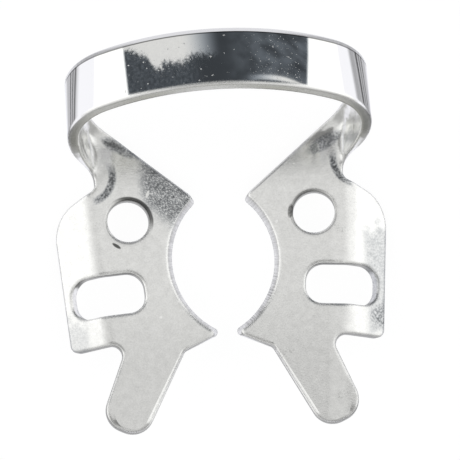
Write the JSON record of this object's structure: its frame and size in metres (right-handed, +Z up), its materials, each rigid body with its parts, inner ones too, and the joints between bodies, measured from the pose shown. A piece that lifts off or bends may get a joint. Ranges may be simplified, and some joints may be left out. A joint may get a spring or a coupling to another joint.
{
  "type": "rubber dam clamp",
  "caption": "Winged molar clamp of folded spring-steel sheet: a leaning bow joins flat jaws with pointed prongs, bent side wings, front wings, forceps holes and slots.",
  "frame": {"origin": "centre of the bounding box's base, on the surface that the clamp lies on", "axes": "+Y from the front wings towards the bow, +Z up as it lies at rest, X across the jaws"},
  "size_m": [0.0222, 0.0262, 0.0117],
  "materials": {
    "steel": "polished stainless spring steel, satin on the jaw faces"
  },
  "bodies": {
    "root": {"clamp": "steel"}
  },
  "joints": []
}
